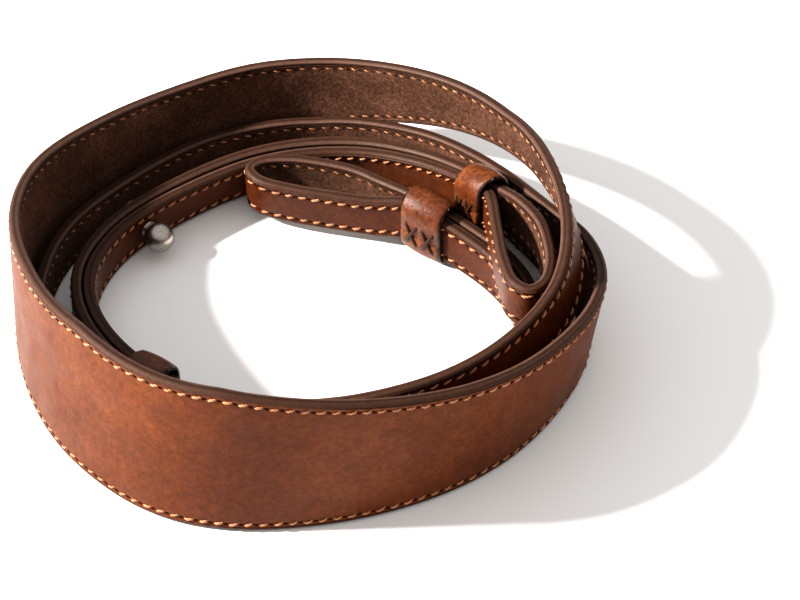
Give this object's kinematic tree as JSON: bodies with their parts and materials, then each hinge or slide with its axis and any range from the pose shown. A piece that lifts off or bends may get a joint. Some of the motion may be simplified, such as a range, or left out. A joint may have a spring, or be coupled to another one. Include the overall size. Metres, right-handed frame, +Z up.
{
  "type": "camera neck strap",
  "caption": "Long leather neck strap lined with suede, wide at the middle, tapering to narrow ends that fold back into loops held by leather keepers; it stands coiled on its edge.",
  "frame": {"origin": "on the floor under the middle of the coil's outline", "axes": "+Z up from the edge that the strap stands on, -Y towards the wide part's outside, +X to the right as seen from there"},
  "size_m": [0.1139, 0.1123, 0.035],
  "materials": {
    "strap_leather": "smooth oiled brown leather",
    "strap_suede": "dark brown suede",
    "keeper_leather": "glossy orange-brown leather",
    "stud_steel": "satin nickel plate"
  },
  "bodies": {
    "root": {"strap_face": "strap_leather", "strap_lining": "strap_suede", "loop_keeper_a": "keeper_leather", "loop_keeper_b": "keeper_leather", "tail_keeper_a": "keeper_leather", "tail_keeper_b": "keeper_leather", "ball_stud_a": "stud_steel", "ball_stud_b": "stud_steel"}
  },
  "joints": []
}
